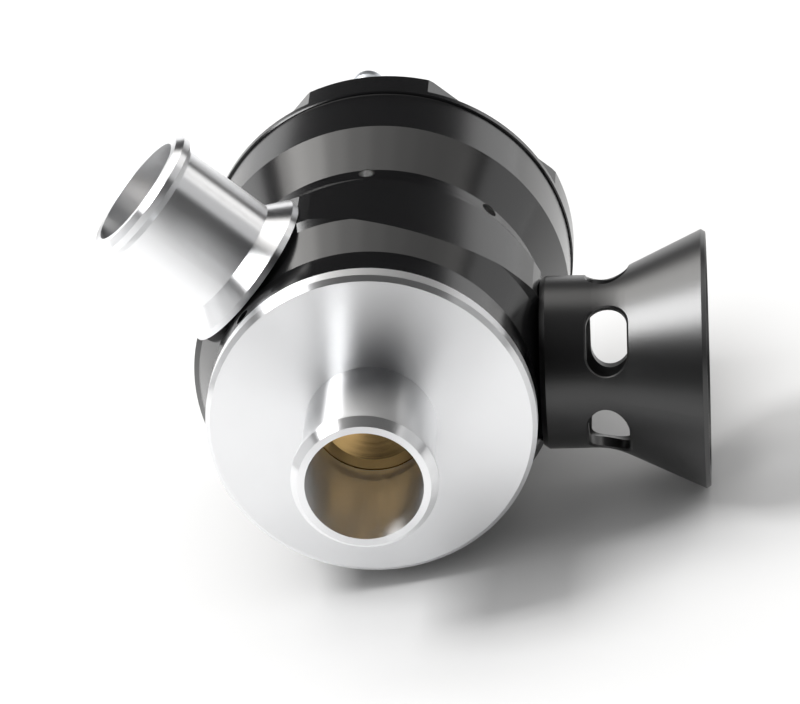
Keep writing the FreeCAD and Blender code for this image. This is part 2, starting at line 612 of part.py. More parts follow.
slot = new_sketch(trumpet, "slot", "YZ_Plane", turn_about=Y_AXIS, turn="slot_angle")
add_slot(slot, "slot_start", "slot_length", "slot_width")
slot_cut = pocket(trumpet, slot, "flare_end_d")
around(trumpet, [slot_cut], "slot_count")


def outer_slot_edges(body):
    """The slots' outer edges: both ends lie beyond the middle of the neck's wall."""
    flare = (size("flare_end_d") - size("trumpet_neck_d")) / 2
    flare = flare / (size("trumpet_end") - size("rim_band") - size("flare_start"))
    wall = (size("trumpet_neck_d") - size("neck_bore_d")) / 2
    names = []
    for number, edge in enumerate(body.Tip.Shape.Edges, start=1):
        ends = [vertex.Point for vertex in edge.Vertexes]
        if isinstance(edge.Curve, Part.Circle) or len(ends) < 2:
            continue
        low = size("slot_start") - MATCH
        high = size("slot_start") + size("slot_width") + MATCH
        if not all(low <= point.z <= high for point in ends):
            continue
        out = [math.hypot(point.x, point.y) - flare * max(0, point.z - size("flare_start"))
               for point in ends]
        if min(out) > size("trumpet_neck_d") / 2 - wall / 2:
            names.append("Edge%d" % number)
    return names


dressed(trumpet, "Chamfer", outer_slot_edges(trumpet), "Size", "edge_break")
on_port(trumpet, 0)
parts.append(trumpet)

# Port rings: lie in the chamfer of each socket, against the spigot and under its flange.

port_ring_d = "socket_d - 2 * seated_gap + port_ring_section + 2 * rest_gap"
ring_out = size("port_flat") - size("port_ring_section") / 2
for ring_label, ring_angle in (("trumpet_o_ring", 0), ("recirc_o_ring", size("recirc_angle"))):
    port_ring = o_ring(ring_label, port_ring_d, "port_ring_section")
    on_port(port_ring, ring_angle, ring_out)
    parts.append(port_ring)

# Recirculation spigot: a bright turned hose stub with a beaded lip, pressed in like the trumpet.

recirc_spigot = turned("recirc_spigot", [
    ("port_bore_d / 2", "spigot_end"),
    ("socket_d / 2 - seated_gap", "spigot_end"),
    ("socket_d / 2 - seated_gap", "port_flat + rest_gap"),
    ("foot_d / 2", "port_flat + rest_gap"),
    ("foot_d / 2", "port_flat + recirc_rim"),
    ("recirc_tube_d / 2", "port_flat + recirc_shoulder"),
    ("recirc_tube_d / 2", "recirc_mouth - recirc_lead - recirc_land - recirc_back"),
    ("lip_d / 2", "recirc_mouth - recirc_lead - recirc_land"),
    ("lip_d / 2", "recirc_mouth - recirc_lead"),
    ("recirc_lip_face_d / 2", "recirc_mouth"),
    ("recirc_bore_d / 2", "recirc_mouth"),
    ("recirc_bore_d / 2", "port_flat + recirc_step_end"),
    ("port_bore_d / 2", "port_flat + recirc_step"),
])
on_port(recirc_spigot, size("recirc_angle"))
parts.append(recirc_spigot)

# Head housing: the black drum that turns on the body. Pin-spanner holes ring its collar, and its
# bore takes the top cap's plug. Four tapped holes in its floor hold the bias sleeve.

head_housing = turned("head_housing", [
    ("sleeve_bore_d / 2", "neck_top_z + running_gap"),
    ("collar_d / 2", "neck_top_z + running_gap"),
    ("collar_d / 2", "drum_cone_z"),
    ("drum_d / 2", "drum_z"),
    ("drum_d / 2", "drum_top_z"),
    ("drum_bore_d / 2", "drum_top_z"),
    ("drum_bore_d / 2", "head_floor_z"),
    ("sleeve_bore_d / 2", "head_floor_z"),
])
pin_hole = new_sketch(head_housing, "pin_hole", "YZ_Plane", lift="collar_d / 2 - pin_hole_depth",
                      turn_about=Y_AXIS, turn="pin_hole_angle")
add_circle(pin_hole, "0", "pin_hole_z", "pin_hole_d")
pin_cut = pocket(head_housing, pin_hole, "drum_d")
around(head_housing, [pin_cut], "pin_hole_count")

screw_x = "sleeve_screw_ring * cos((pin_hole_angle + sleeve_screw_offset) * 1deg)"
screw_y = "sleeve_screw_ring * sin((pin_hole_angle + sleeve_screw_offset) * 1deg)"
tapped = new_sketch(head_housing, "tapped_hole", "XY_Plane", lift="head_floor_z - sleeve_screw_reach")
add_circle(tapped, screw_x, screw_y, "sleeve_screw_d + 2 * seated_gap")
tapped_cut = pocket(head_housing, tapped, "screw_top_z")
around(head_housing, [tapped_cut], "sleeve_screw_count")
parts.append(head_housing)

# Bias sleeve: the steel liner the piston runs in. It hangs from the head by its flange and turns
# with it, and its one wide window is shared between the two ports.

clip_top = "register_bore_z - running_gap"
sleeve_r = "sleeve_d / 2"
bias_sleeve = turned("bias_sleeve", [
    ("sleeve_bore / 2", "sleeve_bottom_z"),
    (sleeve_r, "sleeve_bottom_z"),
    (sleeve_r, clip_top + " - clip_thickness - seated_gap"),
    ("clip_groove_d / 2", clip_top + " - clip_thickness - seated_gap"),
    ("clip_groove_d / 2", clip_top + " + seated_gap"),
    (sleeve_r, clip_top + " + seated_gap"),
    (sleeve_r, "sleeve_ring_z - sleeve_ring_groove / 2"),
    (sleeve_r + " - sleeve_ring_depth", "sleeve_ring_z - sleeve_ring_groove / 2"),
    (sleeve_r + " - sleeve_ring_depth", "sleeve_ring_z + sleeve_ring_groove / 2"),
    (sleeve_r, "sleeve_ring_z + sleeve_ring_groove / 2"),
    (sleeve_r, "head_floor_z + rest_gap"),
    ("sleeve_flange_d / 2", "head_floor_z + rest_gap"),
    ("sleeve_flange_d / 2", "head_floor_z + sleeve_flange"),
    (sleeve_r, "head_floor_z + sleeve_flange"),
    (sleeve_r, "sleeve_top_z"),
    ("sleeve_bore / 2", "sleeve_top_z"),
])
window = new_sketch(bias_sleeve, "window", "XY_Plane", lift="window_z",
                    turn="(recirc_angle - 360) / 2")
window_side = "sleeve_bore_d / 2 * tan(window_half_angle * 1deg)"
add_outline(window, [("0", "0"), ("sleeve_bore_d / 2", "-" + window_side),
                     ("sleeve_bore_d / 2", window_side)])
pocket(bias_sleeve, window, "window_top_z - window_z")
flange_hole = new_sketch(bias_sleeve, "flange_hole", "XY_Plane", lift="head_floor_z")
add_circle(flange_hole, screw_x, screw_y, "sleeve_screw_d + 2 * screw_hole_gap")
flange_cut = pocket(bias_sleeve, flange_hole, "screw_top_z")
around(bias_sleeve, [flange_cut], "sleeve_screw_count")
parts.append(bias_sleeve)

# Sleeve screws: four cap screws that clamp the sleeve's flange to the floor of the head.

def sleeve_screw(number):
    turn = size("pin_hole_angle") + size("sleeve_screw_offset")
    turn = turn + number * 360.0 / size("sleeve_screw_count")
    spot = Rotation(Z_AXIS, turn).multVec(Vector(size("sleeve_screw_ring"), 0, 0))
    seat = size("head_floor_z") + size("sleeve_flange") + size("rest_gap")
    end = size("head_floor_z") - size("sleeve_screw_reach") + size("seated_gap")
    key = seat + size("sleeve_screw_head") - size("sleeve_screw_key_depth")
    screw_head = cylinder("sleeve_head_%d" % number, "sleeve_screw_head_d", "sleeve_screw_head",
                          spot + Vector(0, 0, seat))
    shank = cylinder("sleeve_shank_%d" % number, "sleeve_screw_d",
                     "sleeve_flange + rest_gap + sleeve_screw_reach - seated_gap",
                     spot + Vector(0, 0, end))
    joined = doc.addObject("Part::Fuse", "sleeve_joined_%d" % number)
    joined.Base = screw_head
    joined.Tool = shank
    socket = hex_bar("sleeve_key_%d" % number, "sleeve_screw_key", "sleeve_screw_head",
                     spot + Vector(0, 0, key))
    return cut("sleeve_screw_%d" % number, joined, socket)


parts.append(grouped("sleeve_screws", [sleeve_screw(i) for i in range(int(size("sleeve_screw_count")))]))

# Sleeve ring: seals the turning sleeve to the body and gives the head its drag.

parts.append(o_ring("sleeve_o_ring", "sleeve_bore_d - sleeve_ring_section - 2 * rest_gap",
                    "sleeve_ring_section", "sleeve_ring_z"))

# Head clip: an open spring ring in the sleeve's groove, under the body's shoulder. It keeps the
# head from lifting off and lets it turn.

parts.append(split_ring("head_retaining_clip", [
    ("clip_groove_d / 2 + seated_gap", clip_top + " - clip_thickness"),
    ("clip_d / 2", clip_top + " - clip_thickness"),
    ("clip_d / 2", clip_top),
    ("clip_groove_d / 2 + seated_gap", clip_top),
], "clip_opening"))

# Piston: turned brass cup. The dished nose closes the seat, the spring stands on the inner floor
# round a well for the preload screw, and a ring groove runs below the rim.

piston_r = "sleeve_bore / 2 - running_gap"
piston = turned("piston", [
    ("0", "piston_face_z + dish_depth"),
    ("dish_d / 2", "piston_face_z"),
    ("nose_d / 2", "piston_face_z"),
    ("nose_d / 2", "nose_top_z"),
    (piston_r, "piston_shoulder_z"),
    (piston_r, "ring_groove_z"),
    (piston_r + " - ring_depth", "ring_groove_z"),
    (piston_r + " - ring_depth", "ring_groove_z + ring_groove"),
    (piston_r, "ring_groove_z + ring_groove"),
    (piston_r, "piston_top_z"),
    ("piston_bore_d / 2", "piston_top_z"),
    ("piston_bore_d / 2", "piston_floor_z"),
    ("well_d / 2", "piston_floor_z"),
    ("well_d / 2", "well_z"),
    ("0", "well_z"),
])
parts.append(piston)

# Piston ring: a split slippery ring that seals the piston in the sleeve.

parts.append(split_ring("piston_ring", [
    (piston_r + " - ring_depth + rest_gap", "ring_groove_z + seated_gap"),
    ("sleeve_bore / 2 - rest_gap", "ring_groove_z + seated_gap"),
    ("sleeve_bore / 2 - rest_gap", "ring_groove_z + ring_groove - seated_gap"),
    (piston_r + " - ring_depth + rest_gap", "ring_groove_z + ring_groove - seated_gap"),
], "ring_opening"))

# Main spring: a compression spring whose end coils lie level and closed. The wire's path is worked
# out from the coil's own numbers, since a plain helix can't change its pitch.

POINTS_A_TURN = 8
turns = int(size("spring_turns"))
wire_r = size("spring_wire_d") / 2
first_z = size("piston_floor_z") + size("rest_gap") + wire_r
last_z = size("seat_nut_z") - size("rest_gap") - wire_r
closed = size("spring_closed_pitch")
level = size("spring_level_turn")
bends = [(0, first_z), (level, first_z), (1, first_z + closed),
         (turns - 1, last_z - closed), (turns - level, last_z), (turns, last_z)]


def coil_height(turn):
    """Height of the wire's centre after some turns, read between the path's bends."""
    for (turn_a, z_a), (turn_b, z_b) in zip(bends, bends[1:]):
        if turn <= turn_b:
            return z_a + (z_b - z_a) * (turn - turn_a) / (turn_b - turn_a)
    return last_z


coil_points = []
for step in range(turns * POINTS_A_TURN + 1):
    spun = step / POINTS_A_TURN
    spot = Rotation(Z_AXIS, 360 * spun).multVec(Vector(size("spring_mean_d") / 2, 0, 0))
    coil_points.append(spot + Vector(0, 0, coil_height(spun)))
coil = Part.BSplineCurve()
coil.interpolate(coil_points)
wire_end = Part.Circle(coil_points[0], coil.tangent(coil.FirstParameter)[0], wire_r)
main_spring = doc.addObject("Part::Feature", "main_spring")
main_spring.Label = "main_spring"
wire_path = Part.Wire([coil.toShape()])
main_spring.Shape = wire_path.makePipeShell([Part.Wire([wire_end.toShape()])], True, True)
parts.append(main_spring)

# Spring seat: a round nut on the preload screw. Two holes let it slide on the guide pins, so it
# can't turn and must travel when the screw turns.

spring_seat = turned("spring_seat", [
    ("screw_thread_d / 2", "seat_nut_z - pilot"),
    ("pilot_d / 2", "seat_nut_z - pilot"),
    ("pilot_d / 2", "seat_nut_z"),
    ("seat_nut_d / 2", "seat_nut_z"),
    ("seat_nut_d / 2", "seat_nut_z + seat_nut"),
    ("screw_thread_d / 2", "seat_nut_z + seat_nut"),
])
guide_holes = new_sketch(spring_seat, "guide_holes", "XY_Plane")
add_circle(guide_holes, "guide_ring", "0", "guide_pin_d + 2 * running_gap")
add_circle(guide_holes, "-guide_ring", "0", "guide_pin_d + 2 * running_gap")
pocket(spring_seat, guide_holes, "screw_top_z")
parts.append(spring_seat)

# Guide pins: two steel dowels pressed in the cap's web.

guide_foot = size("guide_pin_end_z")
parts.append(grouped("seat_guide_pins", [
    cylinder("guide_pin_%d" % number, "guide_pin_d", "guide_pin_top_z - guide_pin_end_z",
             Vector(side * size("guide_ring"), 0, guide_foot))
    for number, side in enumerate((1, -1))]))

# Preload screw: its flange bears under the cap's web against the spring, its journal comes out
# through the cap with a hex socket, and its thread drives the spring seat.

thread_r = "screw_thread_d / 2 - seated_gap"
small_clip_low = "clip_pocket_z + seated_gap"
ring_low = "screw_ring_z - screw_ring_groove / 2"
ring_high = "screw_ring_z + screw_ring_groove / 2"
preload_screw = turned("preload_screw", [
    ("0", "screw_end_z"),
    (thread_r + " - screw_end_chamfer", "screw_end_z"),
    (thread_r, "screw_end_z + screw_end_chamfer"),
    (thread_r, "thrust_z"),
    ("thrust_d / 2", "thrust_z"),
    ("thrust_d / 2", "cap_web_z - seated_gap"),
    ("journal_d / 2", "cap_web_z - seated_gap"),
    ("journal_d / 2", ring_low),
    ("journal_d / 2 - screw_ring_depth", ring_low),
    ("journal_d / 2 - screw_ring_depth", ring_high),
    ("journal_d / 2", ring_high),
    ("journal_d / 2", small_clip_low + " - seated_gap"),
    ("small_clip_groove_d / 2", small_clip_low + " - seated_gap"),
    ("small_clip_groove_d / 2", small_clip_low + " + small_clip_thickness + seated_gap"),
    ("journal_d / 2", small_clip_low + " + small_clip_thickness + seated_gap"),
    ("journal_d / 2", "screw_top_z - screw_chamfer"),
    ("journal_d / 2 - screw_chamfer", "screw_top_z"),
    ("0", "screw_top_z"),
])
key_socket = new_sketch(preload_screw, "key_socket", "XY_Plane", lift="screw_top_z - hex_depth")
add_hexagon(key_socket, "hex_key")
pocket(preload_screw, key_socket, "screw_top_z")
parts.append(preload_screw)

# Preload ring and preload clip: the ring keeps boost in the spring chamber, and the clip holds the
# screw against being pushed down into the head.

preload_ring_d = "journal_d - 2 * screw_ring_depth + screw_ring_section + 4 * ring_gap"
parts.append(o_ring("preload_o_ring", preload_ring_d, "screw_ring_section", "screw_ring_z"))
parts.append(split_ring("preload_clip", [
    ("small_clip_groove_d / 2 + seated_gap", small_clip_low),
    ("small_clip_d / 2", small_clip_low),
    ("small_clip_d / 2", small_clip_low + " + small_clip_thickness"),
    ("small_clip_groove_d / 2 + seated_gap", small_clip_low + " + small_clip_thickness"),
], "small_clip_opening"))

# Top cap: closes the drum. Its plug is screwed down the drum's bore by the four flats on its rim,
# its web carries the preload screw and the guide pins, and the nipple is screwed in its top.

top_cap = turned("top_cap", [
    ("clip_pocket_d / 2", "cap_top_z"),
    ("cap_d / 2 - cap_chamfer", "cap_top_z"),
    ("cap_d / 2", "cap_top_z - cap_chamfer"),
    ("cap_d / 2", "drum_top_z + seated_gap + cap_under_chamfer"),
    ("cap_d / 2 - cap_under_chamfer", "drum_top_z + seated_gap"),
    ("plug_d / 2", "drum_top_z + seated_gap"),
    ("plug_d / 2", "cap_ring_z + cap_ring_groove / 2"),
    ("plug_d / 2 - groove_depth", "cap_ring_z + cap_ring_groove / 2"),
    ("plug_d / 2 - groove_depth", "cap_ring_z - cap_ring_groove / 2"),
    ("plug_d / 2", "cap_ring_z - cap_ring_groove / 2"),
    ("plug_d / 2", "plug_z"),
    ("plug_bore_d / 2", "plug_z"),
    ("plug_bore_d / 2", "cap_web_z"),
    ("journal_d / 2 + seated_gap", "cap_web_z"),
    ("journal_d / 2 + seated_gap", "clip_pocket_z"),
    ("clip_pocket_d / 2", "clip_pocket_z"),
])
cap_flat = new_sketch(top_cap, "cap_flat_outline", "XY_Plane", lift="cap_flange_z",
                      turn="cap_flat_angle")
add_outline(cap_flat, [("cap_flat", "-cap_d"), ("cap_d", "-cap_d"),
                       ("cap_d", "cap_d"), ("cap_flat", "cap_d")])
cap_flat_cut = pocket(top_cap, cap_flat, "screw_top_z")
around(top_cap, [cap_flat_cut], "cap_flat_count")
nipple_x = "nipple_ring * cos(nipple_angle * 1deg)"
nipple_y = "nipple_ring * sin(nipple_angle * 1deg)"
nipple_hole = new_sketch(top_cap, "nipple_hole", "XY_Plane", lift="nipple_hole_z")
add_circle(nipple_hole, nipple_x, nipple_y, "nipple_thread_d + 2 * seated_gap")
pocket(top_cap, nipple_hole, "screw_top_z")
passage = new_sketch(top_cap, "passage", "XY_Plane")
add_circle(passage, "passage_ring * cos(nipple_angle * 1deg)",
           "passage_ring * sin(nipple_angle * 1deg)", "passage_d")
pocket(top_cap, passage, "passage_top_z")
pressed_holes = new_sketch(top_cap, "pressed_holes", "XY_Plane")
add_circle(pressed_holes, "guide_ring", "0", "guide_pin_d + rest_gap")
add_circle(pressed_holes, "-guide_ring", "0", "guide_pin_d + rest_gap")
pocket(top_cap, pressed_holes, "guide_hole_top_z")
parts.append(top_cap)

# Cap ring: seals the cap's plug in the drum.

parts.append(o_ring("cap_o_ring", "plug_d - 2 * groove_depth + cap_ring_section + 2 * rest_gap",
                    "cap_ring_section", "cap_ring_z"))

# Vacuum nipple: a threaded hose stub with a hexagon, drilled through. It takes the small hose that
# leads manifold pressure to the spring chamber. Its washer seals it on the cap.

hex_low = "cap_top_z + nipple_washer"
hex_high = "cap_top_z + nipple_washer + nipple_hex_height"
hex_corner = "nipple_hex / sqrt(3)"
vacuum_nipple = turned("vacuum_nipple", [
    ("nipple_bore_d / 2", hex_low + " - nipple_thread - nipple_washer"),
    ("nipple_thread_d / 2", hex_low + " - nipple_thread - nipple_washer"),
    ("nipple_thread_d / 2", hex_low),
    (hex_corner, hex_low),
    (hex_corner, hex_high + " - nipple_hex_chamfer"),
    (hex_corner + " - nipple_hex_chamfer", hex_high),
    ("nipple_stem_d / 2", hex_high),
    ("nipple_stem_d / 2", "nipple_tip_z - nipple_barb"),
    ("nipple_barb_d / 2", "nipple_tip_z - nipple_barb + nipple_barb_back"),
    ("nipple_barb_d / 2", "nipple_tip_z"),
    ("nipple_bore_d / 2", "nipple_tip_z"),
])
hex_outside = new_sketch(vacuum_nipple, "hex_outside", "XY_Plane", lift=hex_low)
add_hexagon(hex_outside, "nipple_hex")
add_circle(hex_outside, "0", "0", "2 * nipple_hex")
pocket(vacuum_nipple, hex_outside, "nipple_hex_height")
tip_edge = round_edges(vacuum_nipple, size("nipple_barb_d") / 2, size("nipple_tip_z"))
dressed(vacuum_nipple, "Fillet", tip_edge, "Radius", "nipple_tip_round")
vacuum_nipple.setExpression("Placement.Base.x", linked(nipple_x))
vacuum_nipple.setExpression("Placement.Base.y", linked(nipple_y))
parts.append(vacuum_nipple)

nipple_washer = turned("nipple_washer", [
    ("nipple_thread_d / 2 + seated_gap", "cap_top_z + rest_gap"),
    ("nipple_washer_d / 2", "cap_top_z + rest_gap"),
    ("nipple_washer_d / 2", hex_low + " - rest_gap"),
    ("nipple_thread_d / 2 + seated_gap", hex_low + " - rest_gap"),
])
nipple_washer.setExpression("Placement.Base.x", linked(nipple_x))
nipple_washer.setExpression("Placement.Base.y", linked(nipple_y))
parts.append(nipple_washer)

# Every feature and piece is looked over before anything is written

doc.recompute()
for item in doc.Objects:
    if "Invalid" in item.State or "Error" in item.State:
        raise RuntimeError("%s is %s" % (item.Name, item.State))
for piece in parts:
    if piece.Shape.isNull() or not piece.Shape.isValid():
        raise RuntimeError(piece.Label + " has no valid shape")
for piece in parts:
    piece.Shape.exportStep(os.path.join("parts", piece.Label + ".step"))
    print("%-22s %d solid(s) %10.1f mm3" % (piece.Label, len(piece.Shape.Solids), piece.Shape.Volume))
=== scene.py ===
# %% [markdown]
# # A blow off valve, lit and finished
#
# A blow off valve lets boost out of an engine's intake when the throttle shuts. This one is turned
# from bar: a bright base with a hose stub, a black body with two side ports, and a black head that
# turns to share the air between the ports. The CAD nodes already have every true size, so this
# script only gives them their finishes, the light and the camera.

import bmesh
import bpy
import math
from mathutils import Euler, Matrix, Vector

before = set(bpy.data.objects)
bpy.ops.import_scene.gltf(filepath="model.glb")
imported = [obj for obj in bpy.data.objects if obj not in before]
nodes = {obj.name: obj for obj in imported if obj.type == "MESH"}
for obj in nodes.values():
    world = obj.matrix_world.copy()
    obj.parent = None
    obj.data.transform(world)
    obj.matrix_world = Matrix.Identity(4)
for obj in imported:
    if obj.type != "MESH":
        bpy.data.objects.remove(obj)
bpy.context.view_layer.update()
print("nodes:", len(nodes))

# %% [markdown]
# ## Where things are
#
# The valve's own axis is +Z and the trumpet's is +X, 45 mm up. The return spigot leaves at 221.2
# degrees. A lathe leaves rings about the axis that a piece was turned on, so each finish needs to
# know that axis.

# %% Axes of turning
PORT_HEIGHT = 0.045
RECIRC_ANGLE = math.radians(221.2)
VALVE_AXIS = ((0, 0, 0), (0, 0, 0))
TRUMPET_AXIS = ((0, 0, PORT_HEIGHT), (0, math.radians(90), 0))
RECIRC_AXIS = ((0, 0, PORT_HEIGHT), (0, math.radians(90), RECIRC_ANGLE))
NIPPLE_RADIUS = 0.0262
NIPPLE_ANGLE = math.radians(-98)
nipple_foot = Vector((NIPPLE_RADIUS * math.cos(NIPPLE_ANGLE), NIPPLE_RADIUS * math.sin(NIPPLE_ANGLE), 0))
NIPPLE_AXIS = (tuple(nipple_foot), (0, 0, 0))
print("spigot leaves at", round(math.degrees(RECIRC_ANGLE), 1), "degrees")


# %% [markdown]
# ## Helpers for node trees
#
# Each material is a small tree of shader nodes. These helpers keep the lines short: one adds a node
# with its settings, one joins two sockets, one does sums.

# %% Node helpers
def add(tree, kind, **settings):
    node = tree.nodes.new(kind)
    for name, value in settings.items():
        setattr(node, name, value)
    return node


def join(tree, source, target):
    tree.links.new(source, target)


def maths(tree, operation, a, b=None):
    """A Math node whose inputs are sockets or plain numbers."""
    node = add(tree, "ShaderNodeMath", operation=operation)
    for socket, value in zip(node.inputs, (a, b)):
        if value is None:
            continue
        if isinstance(value, (int, float)):
            socket.default_value = value
        else:
            join(tree, value, socket)
    return node.outputs[0]


def blank(name):
    """A new material with only its shader and output."""
    material = bpy.data.materials.new(name)
    material.use_nodes = True
    tree = material.node_tree
    tree.nodes.clear()
    shader = add(tree, "ShaderNodeBsdfPrincipled")
    output = add(tree, "ShaderNodeOutputMaterial")
    join(tree, shader.outputs["BSDF"], output.inputs["Surface"])
    return material, tree, shader


print("helpers ready")


# %% [markdown]
# ## The mark of the lathe
#
# A turning tool leaves a fine spiral groove. On a face it shows as rings, on a barrel as rings
# along the axis. Radius plus height is one number that runs across the rings on both, so a noise
# read along that number gives the grooves everywhere.

# %% Turning lines
def turned_coordinates(tree, axis):
    """Sockets for the radius and the height of a point about the axis it was turned on."""
    place, rotation = axis
    coordinates = add(tree, "ShaderNodeTexCoord")
    mapping = add(tree, "ShaderNodeMapping", vector_type="TEXTURE")
    mapping.inputs["Location"].default_value = place
    mapping.inputs["Rotation"].default_value = rotation
    join(tree, coordinates.outputs["Object"], mapping.inputs["Vector"])
    split = add(tree, "ShaderNodeSeparateXYZ")
    join(tree, mapping.outputs["Vector"], split.inputs["Vector"])
    squared = maths(tree, "ADD", maths(tree, "POWER", split.outputs["X"], 2.0),
                    maths(tree, "POWER", split.outputs["Y"], 2.0))
    return maths(tree, "SQRT", squared), split.outputs["Z"]


def groove_noise(tree, axis, lines_per_metre):
    """A value that changes only across the tool's grooves."""
    radius, height = turned_coordinates(tree, axis)
    noise = add(tree, "ShaderNodeTexNoise", noise_dimensions="1D")
    noise.inputs["Scale"].default_value = lines_per_metre
    noise.inputs["Detail"].default_value = 4.0
    join(tree, maths(tree, "ADD", radius, height), noise.inputs["W"])
    return noise.outputs["Fac"]


def brushed_round(tree, shader, axis, amount):
    """Stretches the highlight across the grooves, which run round the axis."""
    place, rotation = axis
    coordinates = add(tree, "ShaderNodeTexCoord")
    away = add(tree, "ShaderNodeVectorMath", operation="SUBTRACT")
    away.inputs[1].default_value = place
    join(tree, coordinates.outputs["Object"], away.inputs[0])
    around = add(tree, "ShaderNodeVectorMath", operation="CROSS_PRODUCT")
    around.inputs[0].default_value = Euler(rotation).to_matrix() @ Vector((0, 0, 1))
    join(tree, away.outputs["Vector"], around.inputs[1])
    join(tree, around.outputs["Vector"], shader.inputs["Tangent"])
    shader.inputs["Anisotropic"].default_value = amount
    shader.inputs["Anisotropic Rotation"].default_value = 0.25


def bump(tree, shader, height, distance):
    """Raises the surface by a height map; the distance is in metres."""
    node = add(tree, "ShaderNodeBump")
    node.inputs["Distance"].default_value = distance
    join(tree, height, node.inputs["Height"])
    join(tree, node.outputs["Normal"], shader.inputs["Normal"])


def object_noise(tree, scale, detail=3.0):
    """A value that changes from place to place, as handling marks and fine grain do."""
    coordinates = add(tree, "ShaderNodeTexCoord")
    noise = add(tree, "ShaderNodeTexNoise")
    noise.inputs["Scale"].default_value = scale
    noise.inputs["Detail"].default_value = detail
    join(tree, coordinates.outputs["Object"], noise.inputs["Vector"])
    return noise.outputs["Fac"]


def roughen(tree, shader, roughness, lines, line_share, marks, mark_share):
    """A roughness that rises a little with the grooves and with a second kind of mark."""
    both = maths(tree, "ADD", maths(tree, "MULTIPLY", lines, line_share),
                 maths(tree, "MULTIPLY", marks, mark_share))
    join(tree, maths(tree, "ADD", both, roughness), shader.inputs["Roughness"])


print("turning lines ready")


# %% [markdown]
# ## Bright aluminium
#
# The base and the return spigot are bare, finely turned aluminium. The rings are too fine to see
# singly but they stretch each highlight across themselves, and handling leaves faint dull patches.

# %% Bright aluminium
def bright_aluminium(name, axis, roughness):
    material, tree, shader = blank(name)
    shader.inputs["Base Color"].default_value = (0.90, 0.905, 0.915, 1)
    shader.inputs["Metallic"].default_value = 1.0
    brushed_round(tree, shader, axis, 0.95)
    lines = groove_noise(tree, axis, 7000)
    patches = object_noise(tree, 90, 4.0)
    roughen(tree, shader, roughness, lines, 0.08, patches, 0.04)
    bump(tree, shader, lines, 0.000002)
    return material


base_metal = bright_aluminium("bright_aluminium_base", VALVE_AXIS, 0.27)
spigot_metal = bright_aluminium("bright_aluminium_spigot", RECIRC_AXIS, 0.27)
print("made:", base_metal.name, spigot_metal.name)


# %% [markdown]
# ## Black anodised aluminium
#
# Anodising grows a hard clear layer in the metal and a dye turns it black. It shines like satin: the
# layer mirrors softly at its surface, the metal below shows only as a dark base colour.

# %% Black anodised aluminium
BLACK = (0.0045, 0.0045, 0.0048, 1)


def black_anodised(name, axis, roughness, grain, index):
    material, tree, shader = blank(name)
    shader.inputs["Base Color"].default_value = BLACK
    shader.inputs["IOR"].default_value = index
    lines = groove_noise(tree, axis, 5000)
    speckle = object_noise(tree, 4200, 2.0)
    roughen(tree, shader, roughness, lines, 0.05, speckle, 0.06)
    height = maths(tree, "ADD", maths(tree, "MULTIPLY", lines, 0.5),
                   maths(tree, "MULTIPLY", speckle, grain))
    bump(tree, shader, height, 0.000003)
    return material, tree, shader


body_black = black_anodised("black_anodised_body", VALVE_AXIS, 0.13, 0.3, 1.52)[0]
trumpet_black = black_anodised("black_anodised_trumpet", TRUMPET_AXIS, 0.27, 1.6, 1.75)[0]
print("made:", body_black.name, trumpet_black.name)

# %% [markdown]
# The pin-spanner holes were drilled after the anodising, so bare metal shines inside them. They are
# the only faces of the head between two radii and two heights, which makes a mask for them.

# %% Bare metal in the pin-spanner holes
HOLE_RADII = (0.0262, 0.02985)
HOLE_HEIGHTS = (0.0604, 0.0636)
head_black, tree, shader = black_anodised("black_anodised_head", VALVE_AXIS, 0.13, 0.3, 1.52)
radius, height = turned_coordinates(tree, VALVE_AXIS)
inside = maths(tree, "MULTIPLY", maths(tree, "GREATER_THAN", radius, HOLE_RADII[0]),
               maths(tree, "LESS_THAN", radius, HOLE_RADII[1]))
between = maths(tree, "MULTIPLY", maths(tree, "GREATER_THAN", height, HOLE_HEIGHTS[0]),
                maths(tree, "LESS_THAN", height, HOLE_HEIGHTS[1]))
bare = maths(tree, "MULTIPLY", inside, between)
colour = add(tree, "ShaderNodeMix", data_type="RGBA")
# A Mix node's colours go in at sockets 6 and 7, and the mixed colour comes out at socket 2.
colour.inputs[6].default_value = BLACK
colour.inputs[7].default_value = (0.9, 0.9, 0.9, 1)
join(tree, bare, colour.inputs[0])
join(tree, colour.outputs[2], shader.inputs["Base Color"])
join(tree, bare, shader.inputs["Metallic"])
print("made:", head_black.name)


# %% [markdown]
# ## Brass, steel, rubber and slippery plastic
#
# The piston is brass, seen at the end of the inlet's bore. The liner, screws, pins and clips are
# steel, the seals are rubber, and the piston's split ring is an off-white slippery plastic.

# %% Other finishes
def turned_metal(name, colour, axis, roughness, lines_per_metre=1800):
    material, tree, shader = blank(name)
    shader.inputs["Base Color"].default_value = colour
    shader.inputs["Metallic"].default_value = 1.0
    lines = groove_noise(tree, axis, lines_per_metre)
    patches = object_noise(tree, 140, 3.0)
    roughen(tree, shader, roughness, lines, 0.12, patches, 0.12)
    bump(tree, shader, lines, 0.00001)
    return material


def matte(name, colour, roughness, scale, depth):
    material, tree, shader = blank(name)
    shader.inputs["Base Color"].default_value = colour
    grain = object_noise(tree, scale, 4.0)
    share = maths(tree, "MULTIPLY", grain, 0.2)
    join(tree, maths(tree, "ADD", share, roughness), shader.inputs["Roughness"])
    bump(tree, shader, grain, depth)
    return material


